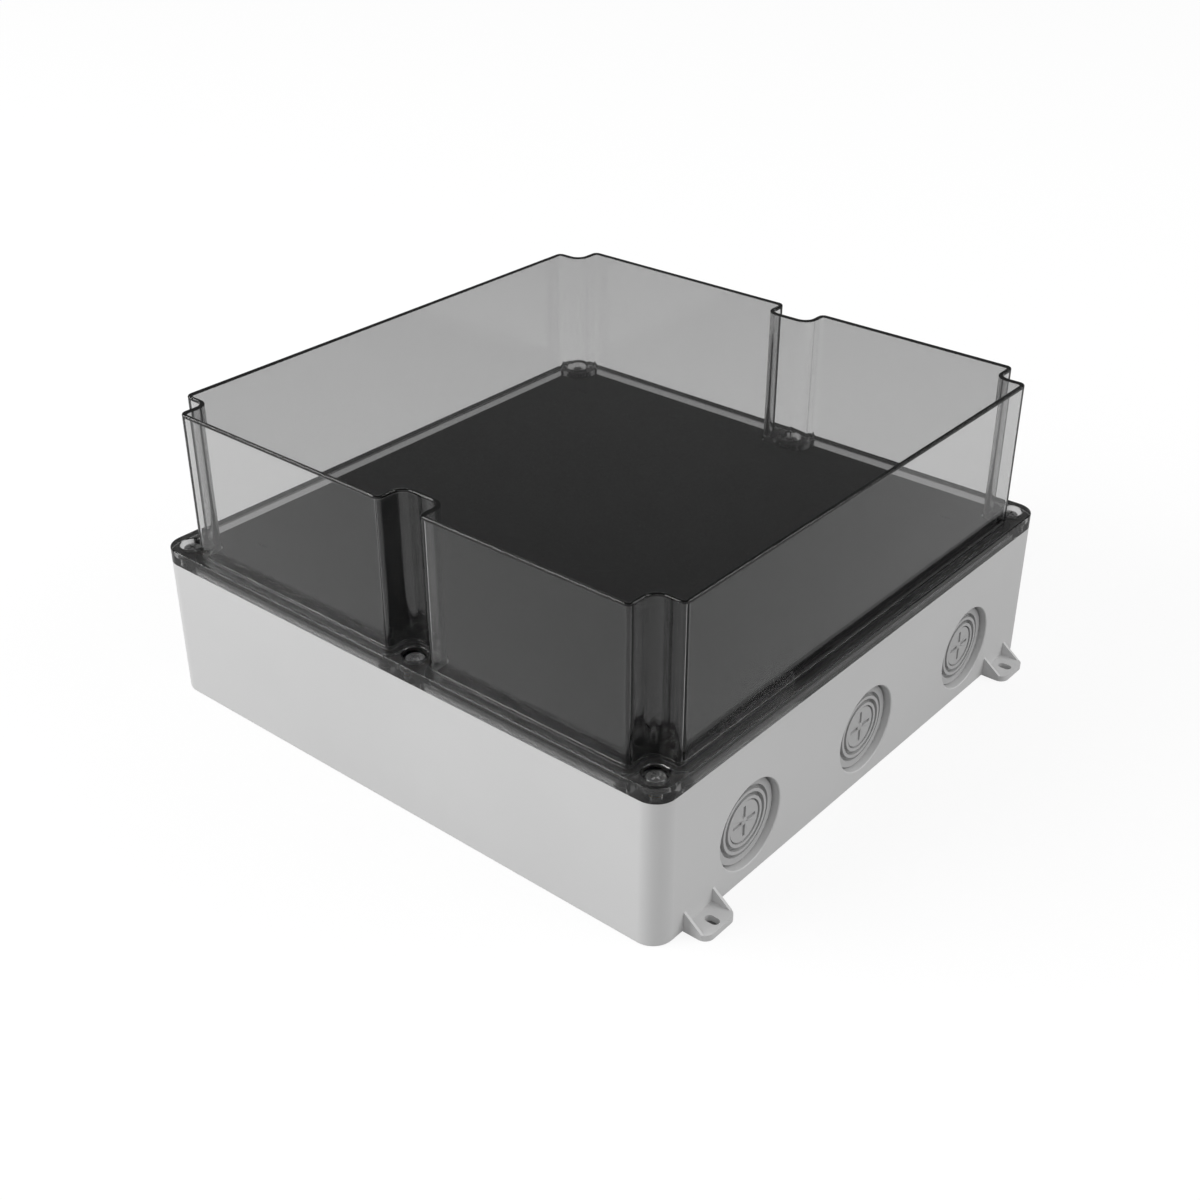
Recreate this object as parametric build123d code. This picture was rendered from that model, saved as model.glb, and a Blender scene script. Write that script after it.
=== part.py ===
from build123d import *
import os

# Square wall-mounting junction box: an opaque base tub with stepped cable entries and
# fixing lugs, and a deep see-through cover held by six screws in flutes of its wall.
# Millimetres. The origin is at the centre of the base's back face and +Z points from the
# wall through the cover. The entries are in the two walls across X.

# Overall size, without the lugs
box_length = 400.0
box_width = 400.0
base_height = 94.5
cover_height = 105.5
corner_radius = 13.5

# Base tub
base_wall = 3.5
base_floor = 4.0
bottom_edge_round = 1.0
rim_depth = 8.0

# Cover
cover_wall = 3.0
cover_top = 3.0
cover_edge_round = 3.2
cover_inner_round = 1.0
flange_thickness = 10.0
flange_ledge = 8.0
flange_edge_round = 1.5
wall_foot_round = 1.0

# Flutes that give the screws room beside the cover's wall
corner_flute = 19.0
middle_flute_depth = 17.5
middle_flute_width = 30.0
middle_flute_x = 13.5
flute_inner_radius = 7.0
flute_outer_radius = 4.5
smallest_flute_radius = 0.8

# Seal between the base and the cover
groove_width = 4.0
groove_depth = 4.0
groove_reach = 0.5
tongue_width = 2.4
tongue_height = 1.8
gasket_side_gap = 0.1

# Inner upstand of the base, which the mounting plate lies on
upstand_gap = 0.6
upstand_thickness = 3.0
upstand_height = 5.0

# Cover screws, their washers and the brass inserts
screw_inset = 13.5
screw_shank_radius = 2.95
screw_length = 20.0
screw_head_radius = 5.5
screw_head_height = 3.2
screw_head_round = 0.8
screw_slot_width = 1.3
screw_slot_length = 7.0
screw_slot_depth = 1.6
screw_seat_thickness = 3.5
screw_hole_clearance = 0.45
counterbore_radius = 7.5
washer_radius = 6.6
washer_thickness = 1.0
washer_bore_clearance = 0.4
insert_radius = 4.5
insert_length = 12.0
insert_waist_depth = 0.5
thread_clearance = 0.05
insert_relief = 0.35
screw_end_room = 5.0

# Mounting plate, its pillars and their screws
plate_thickness = 2.5
plate_edge_gap = 0.9
pillar_inset = 45.0
pillar_across_flats = 10.0
pillar_boss_radius = 7.0
pillar_boss_height = 12.0
stud_radius = 2.45
stud_length = 8.0
stud_end_room = 0.5
plate_screw_length = 12.0
plate_screw_head_radius = 4.6
plate_screw_head_height = 2.1
plate_screw_slot_depth = 1.0
plate_screw_slot_width = 1.0

# Stepped cable entries
entry_diameter = 55.8
entry_pitch = 118.0
entry_height = 36.6
entry_collar_wall = 3.0
entry_collar_depth = 9.0
entry_fit = 0.1
entry_flange_thickness = 1.5
entry_flange_step = 2.6
entry_web = 1.5
entry_rim_wall = 2.0
face_recess = 4.4
groove_recess = 7.0
ridge_recess = 3.8
fine_groove_recess = 6.4
edge_groove_width = 1.4
outer_ring_width = 4.1
ring_groove_width = 2.3
ridge_width = 1.9
fine_groove_width = 0.9
cross_arm_start = 2.4
cross_arm_end = 10.3
cross_arm_width = 2.2
cross_arm_depth = 1.6

# Wall-fixing lugs
lug_reach = 16.0
lug_width = 27.5
lug_thickness = 4.0
lug_corner_radius = 6.0
lug_inset = 36.6
lug_slot_width = 5.6
lug_slot_length = 9.0
lug_slot_from_wall = 9.0
gusset_thickness = 1.8
gusset_height = 13.2
gusset_reach = 12.0

# Two points this near are one point
same_place = 0.01

# Places that follow from the sizes
half_length = box_length / 2
half_width = box_width / 2
total_height = base_height + cover_height
flange_top = base_height + flange_thickness
seat_level = base_height + screw_seat_thickness
rim_underside = base_height - rim_depth
upstand_outer = -(cover_wall + upstand_gap)
upstand_inner = upstand_outer - upstand_thickness
plate_underside = base_height + upstand_height
plate_top = plate_underside + plate_thickness
head_underside = seat_level + washer_thickness
insert_bore = screw_shank_radius + thread_clearance
entry_radius = entry_diameter / 2
entry_ys = [-entry_pitch, 0.0, entry_pitch]
pillar_x = half_length - pillar_inset
pillar_y = half_width - pillar_inset
pillar_places = [(sx * pillar_x, sy * pillar_y) for sx in (-1, 1) for sy in (-1, 1)]

screw_x = half_length - screw_inset
screw_y = half_width - screw_inset
screw_places = {
    "front_left": (-screw_x, -screw_y),
    "front_middle": (middle_flute_x, -screw_y),
    "front_right": (screw_x, -screw_y),
    "back_left": (-screw_x, screw_y),
    "back_middle": (middle_flute_x, screw_y),
    "back_right": (screw_x, screw_y),
}


def fluted_plan(reach_x, reach_y, grow):
    """A rectangle out to reach_x and reach_y, cut by the screw flutes, which shrink as grow rises."""
    corner_x = half_length - flange_ledge - corner_flute + grow
    corner_y = half_width - flange_ledge - corner_flute + grow
    middle_y = half_width - flange_ledge - middle_flute_depth + grow
    middle_half = middle_flute_width / 2 - grow
    plan = Rectangle(2 * reach_x, 2 * reach_y)
    corner_cut = Rectangle(2 * (reach_x - corner_x), 2 * (reach_y - corner_y))
    middle_cut = Rectangle(2 * middle_half, 2 * (reach_y - middle_y))
    for side_y in (-1, 1):
        plan -= Pos(middle_flute_x, side_y * reach_y) * middle_cut
        for side_x in (-1, 1):
            plan -= Pos(side_x * reach_x, side_y * reach_y) * corner_cut

    def on(value, place):
        return abs(abs(value) - place) < same_place

    def is_inner(vertex):
        return (on(vertex.X, corner_x) and on(vertex.Y, corner_y)) or on(vertex.Y, middle_y)

    def is_outer(vertex):
        return (on(vertex.X, reach_x) and on(vertex.Y, corner_y)) or on(vertex.Y, reach_y)

    inner_radius = max(flute_inner_radius - grow, smallest_flute_radius)
    outer_radius = max(flute_outer_radius + grow, smallest_flute_radius)
    plan = fillet([v for v in plan.vertices() if is_inner(v)], inner_radius)
    return fillet([v for v in plan.vertices() if is_outer(v)], outer_radius)


def seal_plan(grow):
    """The cover wall's outer plan, offset by grow."""
    return fluted_plan(half_length - flange_ledge + grow, half_width - flange_ledge + grow, grow)


def raised(plan, low, high):
    """A straight body on a plan, from one level to another."""
    return extrude(Pos(0, 0, low) * plan, high - low)


def outer_plan():
    return RectangleRounded(box_length, box_width, corner_radius)


def wall_plane(side, y):
    """A plane on the outside of an entry wall, facing out, at one entry's centre."""
    return Plane(origin=(side * half_length, y, entry_height), x_dir=(0, side, 0), z_dir=(side, 0, 0))


def revolved(points):
    """A turned body from a closed outline of (radius, level) points."""
    return revolve(Plane.XZ * make_face(Polyline(*points, close=True)), Axis.Z)


def base_room():
    """The space inside the tub: straight walls, a sloped shoulder, then the narrower rim."""
    room = fluted_plan(half_length - base_wall, half_width - base_wall, upstand_inner)
    mouth = seal_plan(upstand_inner)
    shoulder_rise = flange_ledge - base_wall - upstand_inner
    shoulder_foot = rim_underside - shoulder_rise
    shoulder = loft([Pos(0, 0, shoulder_foot) * room, Pos(0, 0, rim_underside) * mouth], ruled=True)
    return raised(room, base_floor, shoulder_foot) + shoulder + raised(mouth, rim_underside, base_height)


def lug():
    """One fixing lug on the +X wall: a rounded ear with a slot and two gussets."""
    ear = Pos(half_length + lug_reach / 2 - base_wall / 2, 0) * Rectangle(lug_reach + base_wall, lug_width)
    tips = [v for v in ear.vertices() if v.X > half_length]
    ear = fillet(tips, lug_corner_radius)
    ear -= Pos(half_length + lug_slot_from_wall, 0) * SlotOverall(lug_slot_length, lug_slot_width)
    body = extrude(ear, lug_thickness)
    side = Polyline(
        (half_length - base_wall / 2, lug_thickness / 2),
        (half_length + gusset_reach, lug_thickness / 2),
        (half_length + gusset_reach, lug_thickness),
        (half_length, gusset_height),
        (half_length - base_wall / 2, gusset_height),
        close=True,
    )
    web = extrude(Plane.XZ * make_face(side), gusset_thickness / 2, both=True)
    offset_y = (lug_width - gusset_thickness) / 2
    return body + Pos(0, offset_y, 0) * web + Pos(0, -offset_y, 0) * web


def base_shell():
    shell = raised(outer_plan(), 0, base_height)
    shell = fillet(shell.edges().group_by(Axis.Z)[0], bottom_edge_round)
    shell -= base_room()

    lug_y = half_width - lug_inset
    one_lug = lug()
    for side_y in (-1, 1):
        shell += Pos(0, side_y * lug_y, 0) * one_lug
        shell += Pos(0, side_y * lug_y, 0) * Rot(0, 0, 180) * one_lug

    collar_radius = entry_radius + entry_collar_wall
    for side in (-1, 1):
        for y in entry_ys:
            at_wall = wall_plane(side, y).location
            shell += at_wall * raised(Circle(collar_radius), -entry_collar_depth, -base_wall / 2)
            shell -= at_wall * raised(Circle(entry_radius), -entry_collar_depth, 0)

    boss_top = base_floor + pillar_boss_height
    stud_hole_radius = stud_radius + thread_clearance
    for x, y in pillar_places:
        shell += Pos(x, y) * raised(Circle(pillar_boss_radius), base_floor / 2, boss_top)
        shell -= Pos(x, y) * raised(Circle(stud_hole_radius), boss_top - stud_length - stud_end_room, boss_top)

    shell += raised(seal_plan(upstand_outer) - seal_plan(upstand_inner), base_height, plate_underside)
    tongue_inner = (groove_width - tongue_width) / 2 - groove_reach
    tongue = seal_plan(tongue_inner + tongue_width) - seal_plan(tongue_inner)
    shell += raised(tongue, base_height, base_height + tongue_height)

    hole_foot = head_underside - screw_length - screw_end_room
    relief_radius = screw_shank_radius + insert_relief
    for x, y in screw_places.values():
        shell -= Pos(x, y) * raised(Circle(relief_radius), hole_foot, base_height)
        shell -= Pos(x, y) * raised(Circle(insert_radius), base_height - insert_length, base_height)
    return shell


def threaded_insert():
    """Brass bush with two grip collars and a waist between them."""
    waist = insert_radius - insert_waist_depth
    collar = insert_length / 3
    outline = [
        (insert_bore, 0),
        (insert_radius, 0),
        (insert_radius, collar),
        (waist, collar),
        (waist, 2 * collar),
        (insert_radius, 2 * collar),
        (insert_radius, insert_length),
        (insert_bore, insert_length),
    ]
    return revolved(outline)


def is_foot(edge):
    """True for an edge at the flange's top that the cover's wall stands on."""
    box = edge.bounding_box()
    level = abs(box.min.Z - flange_top) < same_place and abs(box.max.Z - flange_top) < same_place
    within_x = max(abs(box.min.X), abs(box.max.X)) < half_length - flange_ledge + same_place
    within_y = max(abs(box.min.Y), abs(box.max.Y)) < half_width - flange_ledge + same_place
    return level and within_x and within_y


def lid_cover():
    wall_plan = seal_plan(0)
    inside_plan = seal_plan(-cover_wall)
    body = raised(wall_plan, base_height, total_height)
    body = fillet(body.edges().group_by(Axis.Z)[-1], cover_edge_round)
    flange = raised(outer_plan(), base_height, flange_top)
    flange = fillet(flange.edges().group_by(Axis.Z)[-1], flange_edge_round)
    inside = raised(inside_plan, base_height, total_height - cover_top)
    inside = fillet(inside.edges().group_by(Axis.Z)[-1], cover_inner_round)
    body += flange
    foot = [e for e in body.edges() if is_foot(e)]
    body = fillet(foot, wall_foot_round) - inside

    groove = seal_plan(groove_width - groove_reach) - seal_plan(-groove_reach)
    body -= raised(groove, base_height, base_height + groove_depth)
    hole_radius = screw_shank_radius + screw_hole_clearance
    for x, y in screw_places.values():
        body -= Pos(x, y) * raised(Circle(hole_radius), base_height, seat_level)
        body -= Pos(x, y) * raised(Circle(counterbore_radius), seat_level, flange_top)
    return body


def lid_gasket():
    outer = seal_plan(groove_width - groove_reach - gasket_side_gap)
    inner = seal_plan(-groove_reach + gasket_side_gap)
    return raised(outer - inner, base_height + tongue_height, base_height + groove_depth)


def lid_screw():
    head = raised(Circle(screw_head_radius), head_underside, head_underside + screw_head_height)
    head = fillet(head.edges().group_by(Axis.Z)[-1], screw_head_round)
    slot = Rectangle(screw_slot_length, screw_slot_width) + Rectangle(screw_slot_width, screw_slot_length)
    head_top = head_underside + screw_head_height
    head -= raised(slot, head_top - screw_slot_depth, head_top)
    shank = raised(Circle(screw_shank_radius), head_underside - screw_length, head_underside)
    tip = shank.edges().group_by(Axis.Z)[0]
    return head + chamfer(tip, screw_shank_radius / 4)


def screw_washer():
    bore = screw_shank_radius + washer_bore_clearance
    return raised(Circle(washer_radius) - Circle(bore), seat_level, head_underside)


def mounting_plate():
    edge = -(cover_wall + plate_edge_gap)
    plate = raised(seal_plan(edge), plate_underside, plate_top)
    screw_radius = stud_radius + thread_clearance
    sink = [
        (0, plate_underside),
        (screw_radius, plate_underside),
        (screw_radius, plate_top - plate_screw_head_height),
        (plate_screw_head_radius, plate_top),
        (0, plate_top),
    ]
    for x, y in pillar_places:
        plate -= Pos(x, y) * revolved(sink)
    return plate


def plate_pillar():
    """Hexagon spacer with a stud at its foot and a threaded hole at its head."""
    foot = base_floor + pillar_boss_height
    hexagon = RegularPolygon(pillar_across_flats / 2, 6, major_radius=False)
    body = raised(hexagon, foot, plate_underside)
    body += raised(Circle(stud_radius), foot - stud_length, foot)
    bore = stud_radius + thread_clearance
    bore_foot = plate_top - plate_screw_length - 2 * stud_end_room
    return body - raised(Circle(bore), bore_foot, plate_underside)


def plate_screw():
    """Flush countersunk screw with a single slot."""
    outline = [
        (0, plate_top - plate_screw_length),
        (stud_radius, plate_top - plate_screw_length),
        (stud_radius, plate_top - plate_screw_head_height),
        (plate_screw_head_radius - thread_clearance, plate_top),
        (0, plate_top),
    ]
    slot = Rectangle(2 * plate_screw_head_radius, plate_screw_slot_width)
    return revolved(outline) - raised(slot, plate_top - plate_screw_slot_depth, plate_top)


def entry_disc():
    """Stepped disc, made with its outside towards +Z and level 0 at the wall's outer face."""
    body = entry_radius - entry_fit
    flange = entry_radius + entry_flange_step
    seat = -entry_collar_depth
    back = seat - entry_flange_thickness
    ring_out = body - edge_groove_width
    ring_in = ring_out - outer_ring_width
    ridge_1_out = ring_in - ring_groove_width
    ridge_1_in = ridge_1_out - ridge_width
    ridge_2_out = ridge_1_in - ring_groove_width
    ridge_2_in = ridge_2_out - ridge_width
    centre = ridge_2_in - fine_groove_width
    outline = [
        (0, -groove_recess - entry_web),
        (body - entry_rim_wall, -groove_recess - entry_web),
        (body - entry_rim_wall, back),
        (flange, back),
        (flange, seat),
        (body, seat),
        (body, -groove_recess),
        (ring_out, -groove_recess),
        (ring_out, -face_recess),
        (ring_in, -face_recess),
        (ring_in, -groove_recess),
        (ridge_1_out, -groove_recess),
        (ridge_1_out, -ridge_recess),
        (ridge_1_in, -ridge_recess),
        (ridge_1_in, -groove_recess),
        (ridge_2_out, -groove_recess),
        (ridge_2_out, -ridge_recess),
        (ridge_2_in, -ridge_recess),
        (ridge_2_in, -fine_groove_recess),
        (centre, -fine_groove_recess),
        (centre, -face_recess),
        (0, -face_recess),
    ]
    disc = revolved(outline)
    arm_length = cross_arm_end - cross_arm_start
    arm = Pos((cross_arm_start + cross_arm_end) / 2, 0) * Rectangle(arm_length, cross_arm_width)
    cut = raised(arm, -face_recess - cross_arm_depth, -face_recess)
    for quarter in range(4):
        disc -= Rot(0, 0, 90 * quarter) * cut
    return disc


def write(shape, name):
    shape.label = name
    export_step(shape, f"parts/{name}.step")


def group(shape, places, level=0):
    return Compound([Pos(x, y, level) * shape for x, y in places])


os.makedirs("parts", exist_ok=True)

write(base_shell(), "base_shell")
write(lid_cover(), "lid_cover")
write(lid_gasket(), "lid_gasket")
write(mounting_plate(), "mounting_plate")
write(group(plate_pillar(), pillar_places), "plate_pillars")
write(group(plate_screw(), pillar_places), "plate_screws")
write(group(threaded_insert(), screw_places.values(), base_height - insert_length), "threaded_inserts")

cover_screw = lid_screw()
cover_washer = screw_washer()
for place, (x, y) in screw_places.items():
    write(Pos(x, y) * cover_screw, f"lid_screw_{place}")
    write(Pos(x, y) * cover_washer, f"screw_washer_{place}")

stepped_disc = entry_disc()
for side, side_name in ((-1, "left"), (1, "right")):
    for y, y_name in zip(entry_ys, ("front", "middle", "back")):
        write(wall_plane(side, y).location * stepped_disc, f"entry_disc_{side_name}_{y_name}")
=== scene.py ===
# %% [markdown]
# # A junction box with a smoked clear cover
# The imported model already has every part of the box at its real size: a grey base with cable
# entries and wall lugs, and a deep clear cover held by six screws. This lesson models the parts
# that show with Blender's own tools, gives each one its real finish, and lights them as the
# photograph does. Everything is in metres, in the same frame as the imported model, so no part
# is ever fitted by eye.

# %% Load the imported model
import bmesh
import bpy
from math import cos, pi, radians, sin
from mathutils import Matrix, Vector


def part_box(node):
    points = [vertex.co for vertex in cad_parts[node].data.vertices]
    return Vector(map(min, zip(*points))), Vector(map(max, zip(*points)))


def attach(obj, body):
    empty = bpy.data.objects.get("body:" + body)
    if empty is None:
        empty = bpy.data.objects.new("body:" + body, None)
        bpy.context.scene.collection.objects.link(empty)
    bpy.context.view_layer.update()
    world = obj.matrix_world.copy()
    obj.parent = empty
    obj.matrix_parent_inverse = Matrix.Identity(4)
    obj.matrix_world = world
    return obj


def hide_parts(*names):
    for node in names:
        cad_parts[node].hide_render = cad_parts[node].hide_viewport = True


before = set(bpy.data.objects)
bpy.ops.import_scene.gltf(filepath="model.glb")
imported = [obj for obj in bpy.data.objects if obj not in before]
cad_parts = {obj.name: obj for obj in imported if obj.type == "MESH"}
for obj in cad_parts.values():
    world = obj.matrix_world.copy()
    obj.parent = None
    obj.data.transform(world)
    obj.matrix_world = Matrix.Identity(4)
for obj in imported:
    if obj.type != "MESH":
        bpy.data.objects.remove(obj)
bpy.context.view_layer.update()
mm = 0.001

# %% [markdown]
# ## The camera
# The photograph looks down at a front corner. Its place was worked out once from the box's own
# edges: both sides are 400 mm, so their vanishing lines fix the distance and the lens.

# %% Set up the camera
camera_place = Vector((0.5911, -0.7110, 0.5980))
camera_aim = Vector((-0.55386, 0.65812, -0.51001))
lens_length = 48.88
film_width = 36.0

camera_data = bpy.data.cameras.new("Camera")
camera_data.sensor_width = film_width
camera_data.lens = lens_length
camera = bpy.data.objects.new("Camera", camera_data)
camera.location = camera_place
camera.rotation_euler = camera_aim.to_track_quat("-Z", "Y").to_euler()
bpy.context.scene.collection.objects.link(camera)
bpy.context.scene.camera = camera
print("Camera at", tuple(round(v, 3) for v in camera_place))

# %% [markdown]
# ## Sizes that several parts share
# The cover's wall runs round six screw flutes, and the seal and the inner plate follow the same
# line at other distances. One set of numbers describes that line, so the parts nest as the real
# ones do. A cutter reaches past what it cuts by the same millimetre everywhere, and a piece that
# is added is buried in its neighbour, so no two faces lie in one plane.

# %% Shared sizes
half_side = 200 * mm
base_top = 94.5 * mm
flange_top = 104.5 * mm
cover_top = 200 * mm
box_corner = 13.5 * mm
past = 1 * mm
buried = 5 * mm
wall_line = 192 * mm
corner_flute = 19 * mm
middle_flute_depth = 17.5 * mm
middle_flute_half = 15 * mm
middle_flute_x = 13.5 * mm
screw_line = 186.5 * mm
screw_spots = {
    "front_left": (-screw_line, -screw_line),
    "front_middle": (middle_flute_x, -screw_line),
    "front_right": (screw_line, -screw_line),
    "back_left": (-screw_line, screw_line),
    "back_middle": (middle_flute_x, screw_line),
    "back_right": (screw_line, screw_line),
}
print(len(screw_spots), "cover screws")

# %% [markdown]
# ## Small tools for editing
# Blender's operators act on whatever is selected. These helpers deselect first, open a new
# primitive for editing, and select faces, edges or vertices by where they are. They could be
# typed out each time, but a lesson reads better when each step says only what it does.

# %% Selecting and opening a part
same_place = 0.01 * mm
doubled = 0.001 * mm


def clear_selection():
    if bpy.context.mode != "OBJECT":
        bpy.ops.object.mode_set(mode="OBJECT")
    bpy.ops.object.select_all(action="DESELECT")


def choose(piece):
    """Makes a piece the only selected and active one."""
    clear_selection()
    piece.select_set(True)
    bpy.context.view_layer.objects.active = piece


def open_piece(name):
    """Names the primitive that was just added, puts its place in its mesh and opens it."""
    piece = bpy.context.object
    piece.name = piece.data.name = name
    bpy.ops.object.transform_apply(location=True, rotation=True, scale=True)
    bpy.ops.object.mode_set(mode="EDIT")
    bpy.ops.mesh.select_mode(type="VERT")
    bpy.ops.mesh.select_all(action="SELECT")
    return piece


def close_piece():
    """Merges doubled points, turns every face outwards and leaves edit mode."""
    bpy.ops.mesh.select_all(action="SELECT")
    bpy.ops.mesh.remove_doubles(threshold=doubled)
    bpy.ops.mesh.normals_make_consistent(inside=False)
    bpy.ops.object.mode_set(mode="OBJECT")


def pick(kind, test):
    """Selects the VERTs or EDGEs whose points all pass the test, or the FACEs whose middle does."""
    bpy.ops.mesh.select_mode(type=kind)
    bpy.ops.mesh.select_all(action="DESELECT")
    mesh = bmesh.from_edit_mesh(bpy.context.object.data)
    parts = {"VERT": mesh.verts, "EDGE": mesh.edges, "FACE": mesh.faces}[kind]
    for part in parts:
        if kind == "FACE":
            points = [part.calc_center_median()]
        else:
            points = [part.co] if kind == "VERT" else [v.co for v in part.verts]
        if all(test(point) for point in points):
            part.select_set(True)
    mesh.select_flush_mode()
    bmesh.update_edit_mesh(bpy.context.object.data)


def near(value, place):
    return abs(value - place) < same_place


def round_edges(test, radius, segments):
    """Rounds the open piece's edges that pass the test."""
    pick("EDGE", test)
    bpy.ops.mesh.bevel(offset=radius, segments=segments, profile=0.5, affect="EDGES",
                       clamp_overlap=False)


# %% Copying, joining and combining
sharp_angle = radians(35)


def copy_piece(piece, name, place=(0, 0, 0), turn=0.0):
    """A copy with its own mesh, turned about the Z axis and then moved, both kept in its mesh."""
    choose(piece)
    bpy.ops.object.duplicate(linked=False)
    copy = bpy.context.object
    copy.name = copy.data.name = name
    copy.rotation_euler.z = turn
    copy.location = place
    bpy.ops.object.transform_apply(location=True, rotation=True, scale=True)
    return copy


def copies_at(spots, piece, name):
    """One copy at each (x, y) spot. The piece itself is used up."""
    copies = [copy_piece(piece, name, (x, y, 0)) for x, y in spots]
    bpy.data.objects.remove(piece)
    return copies


def join_pieces(pieces, name):
    """Makes one object of several that don't touch."""
    clear_selection()
    for piece in pieces:
        piece.select_set(True)
    bpy.context.view_layer.objects.active = pieces[0]
    bpy.ops.object.join()
    joined = bpy.context.object
    joined.name = joined.data.name = name
    return joined


def apply_modifier(piece, modifier):
    choose(piece)
    bpy.ops.object.modifier_apply(modifier=modifier.name)


def combine(piece, tool, operation, solver="MANIFOLD"):
    """Adds, cuts or trims a piece by a second one, which is then used up."""
    change = piece.modifiers.new(operation.title(), "BOOLEAN")
    change.operation = operation
    change.solver = solver
    change.object = tool
    apply_modifier(piece, change)
    bpy.data.objects.remove(tool)


def soften(piece, width, segments=2):
    """Rounds every sharp edge of a piece, as a mould or a tumbler does."""
    bevel = piece.modifiers.new("Soft edges", "BEVEL")
    bevel.width = width
    bevel.segments = segments
    bevel.limit_method = "ANGLE"
    bevel.angle_limit = sharp_angle
    apply_modifier(piece, bevel)


# %% Finishing a part
cubic_centimetre = 1e-6


def dress(piece, finish, body, slot, *nodes):
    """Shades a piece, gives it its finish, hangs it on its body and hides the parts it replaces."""
    choose(piece)
    bpy.ops.object.shade_smooth_by_angle(angle=sharp_angle)
    evener = piece.modifiers.new("Even shading", "WEIGHTED_NORMAL")
    evener.keep_sharp = True
    apply_modifier(piece, evener)
    piece.data.materials.clear()
    piece.data.materials.append(finish)
    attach(piece, body)
    if nodes:
        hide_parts(*nodes)
    mesh = bmesh.new()
    mesh.from_mesh(piece.data)
    open_edges = sum(not edge.is_manifold for edge in mesh.edges)
    volume = mesh.calc_volume(signed=True) / cubic_centimetre
    mesh.free()
    faces = len(piece.data.polygons)
    print(f"{piece.name}: {faces} faces, {open_edges} open edges, {volume:.2f} cm3")


# %% [markdown]
# ## Building on an outline
# The cover, its seal and the inner plate all start as a flat sheet cut to the fluted line. A
# plane is bisected along the flutes' sides, the flute faces are deleted, and the corners are
# rounded with a vertex bevel. Insets then lift the sheet: each one moves the outline inwards
# and up by a little, which is how a rounded edge is drawn in small steps.

# %% Sheets, steps and rounded edges
arc_steps = 10
inward_round = 7 * mm
outward_round = 4.5 * mm
least_round = 0.8 * mm
flat_angle = 0.001


def round_points(test, radius):
    pick("VERT", test)
    bpy.ops.mesh.bevel(offset=radius, segments=arc_steps, profile=0.5, affect="VERTICES",
                       clamp_overlap=False)


def fluted_sheet(name, grow, level, reach=None):
    """A flat sheet on the cover wall's outline, moved outwards by grow, and open for editing."""
    reach = wall_line + grow if reach is None else reach
    corner = wall_line - corner_flute + grow
    bottom = wall_line - middle_flute_depth + grow
    left = middle_flute_x - middle_flute_half + grow
    right = middle_flute_x + middle_flute_half - grow
    clear_selection()
    bpy.ops.mesh.primitive_plane_add(size=2 * reach, location=(0, 0, level))
    sheet = open_piece(name)
    cuts = [((x, 0, level), (1, 0, 0)) for x in (-corner, left, right, corner)]
    cuts += [((0, y, level), (0, 1, 0)) for y in (-bottom, -corner, corner, bottom)]
    for place, direction in cuts:
        bpy.ops.mesh.select_all(action="SELECT")
        bpy.ops.mesh.bisect(plane_co=place, plane_no=direction)
    pick("FACE", lambda p: abs(p.x) > corner and abs(p.y) > corner)
    bpy.ops.mesh.delete(type="FACE")
    pick("FACE", lambda p: left < p.x < right and abs(p.y) > bottom)
    bpy.ops.mesh.delete(type="FACE")
    bpy.ops.mesh.select_all(action="SELECT")
    bpy.ops.mesh.dissolve_limited(angle_limit=flat_angle)
    in_corner = lambda p: near(abs(p.x), corner) and near(abs(p.y), corner)
    at_side = lambda p: near(abs(p.x), reach) and near(abs(p.y), corner)
    round_points(lambda p: in_corner(p) or near(abs(p.y), bottom),
                 max(inward_round - grow, least_round))
    round_points(lambda p: at_side(p) or near(abs(p.y), reach),
                 max(outward_round + grow, least_round))
    bpy.ops.mesh.select_mode(type="FACE")
    bpy.ops.mesh.select_all(action="SELECT")
    return sheet


def square_sheet(name, level):
    """A flat sheet on the whole box's outline, open for editing."""
    clear_selection()
    bpy.ops.mesh.primitive_plane_add(size=2 * half_side, location=(0, 0, level))
    sheet = open_piece(name)
    round_points(lambda p: True, box_corner)
    bpy.ops.mesh.select_mode(type="FACE")
    bpy.ops.mesh.select_all(action="SELECT")
    return sheet


def lift(height):
    """Raises the selected sheet into a body, or the body's top further."""
    bpy.ops.mesh.extrude_region_move(TRANSFORM_OT_translate={"value": (0, 0, height)})


def quarter_round(radius, steps=5):
    """(inwards, upwards) steps of a rounded edge, from upright to level."""
    angles = [i * pi / 2 / steps for i in range(steps + 1)]
    return [(radius * (cos(a) - cos(b)), radius * (sin(b) - sin(a)))
            for a, b in zip(angles, angles[1:])]


def lift_by_steps(steps):
    for inwards, upwards in steps:
        bpy.ops.mesh.inset(thickness=inwards, depth=upwards)


def ring_on_wall(name, grow, width, low, high):
    """An endless strip that follows the fluted line, such as a groove, a tongue or a seal."""
    ring = fluted_sheet(name, grow, low)
    bpy.ops.mesh.inset(thickness=width)
    bpy.ops.mesh.delete(type="FACE")
    bpy.ops.mesh.select_all(action="SELECT")
    lift(high - low)
    close_piece()
    return ring


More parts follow.
